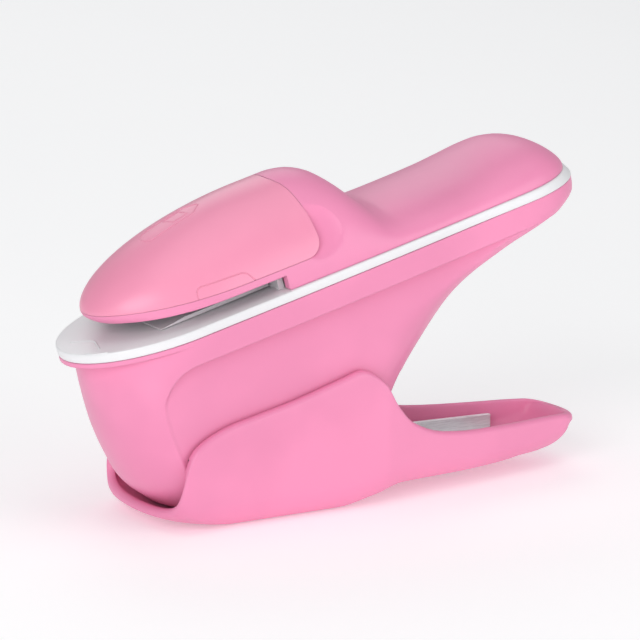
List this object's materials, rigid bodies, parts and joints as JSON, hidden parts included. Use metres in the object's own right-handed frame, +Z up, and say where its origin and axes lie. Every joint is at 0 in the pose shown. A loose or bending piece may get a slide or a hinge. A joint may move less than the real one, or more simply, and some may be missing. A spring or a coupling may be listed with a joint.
{
  "type": "staple-free stapler",
  "caption": "Hand-held staple-free stapler: squeeze lever, handled body with a white paper deck, domed opening head cover and a punch that cuts and tucks a paper tab.",
  "frame": {"origin": "centre of the lever's flat resting face", "axes": "+Z up, +X towards the tail of the handle, nose and paper throat at -X, the body symmetrical about the plane Y = 0"},
  "size_m": [0.139, 0.042, 0.0847],
  "materials": {
    "satin_pink": "satin moulded ABS",
    "gloss_pink": "polished moulded ABS, slightly warmer than the body",
    "white_plastic": "satin white moulding",
    "grey_plastic": "fine texture",
    "plated_steel": "zinc-plated sheet",
    "hardened_steel": "ground",
    "turned_steel": "turned",
    "spring_steel": "drawn wire and pressed clips"
  },
  "bodies": {
    "lever": {"lever_shell": "satin_pink", "lever_channel": "plated_steel", "lever_screw_front": "turned_steel", "lever_screw_rear": "turned_steel", "pivot_pin": "turned_steel", "pivot_clip_left": "spring_steel", "pivot_clip_right": "spring_steel", "drive_pin": "turned_steel", "drive_pin_clip_left": "spring_steel", "drive_pin_clip_right": "spring_steel", "return_spring": "spring_steel"},
    "upper_body": {"lower_body_shell": "satin_pink", "deck_plate": "white_plastic", "guide_plate": "grey_plastic", "upper_shell": "satin_pink", "head_liner": "grey_plastic", "head_die": "hardened_steel", "die_pin_front": "turned_steel", "die_pin_rear": "turned_steel", "frame_plate_left": "plated_steel", "frame_plate_right": "plated_steel", "frame_spacer_front": "turned_steel", "frame_spacer_rear": "turned_steel", "frame_spacer_top": "turned_steel", "spring_seat": "plated_steel", "handle_screw_front": "turned_steel", "handle_screw_rear": "turned_steel"},
    "punch_set": {"punch_carriage": "plated_steel", "tab_cutter": "hardened_steel", "slit_blade": "hardened_steel", "finger_pin": "turned_steel"},
    "tab_finger": {"tab_finger": "hardened_steel"},
    "head_cover": {"head_cover": "gloss_pink"}
  },
  "joints": [
    {"name": "handle_squeeze", "type": "hinge", "parent": "lever", "child": "upper_body", "pos_m": [-0.01594, 0, 0.0157], "axis": [0, 1, 0], "range_deg": [0, 15], "stiffness_Nm_per_rad": 0.6, "springref_deg": -20.05, "deforming": ["return_spring"]},
    {"name": "punch_lift", "type": "slide", "parent": "upper_body", "child": "punch_set", "axis": [-0.247, 0, 0.969], "range_m": [0, 0.0066]},
    {"name": "tab_fold", "type": "hinge", "parent": "punch_set", "child": "tab_finger", "pos_m": [-0.00927, 0, 0.04217], "axis": [0, 1, 0], "range_deg": [0, 36]},
    {"name": "cover_lift", "type": "hinge", "parent": "upper_body", "child": "head_cover", "pos_m": [-0.04174, 0, 0.05175], "axis": [0, -1, 0], "range_deg": [0, 50]}
  ],
  "couplings": [
    {"joint": "punch_lift", "follows": "handle_squeeze", "m_per_rad": 0.0247},
    {"joint": "tab_fold", "follows": "handle_squeeze", "ratio": 2.3}
  ]
}
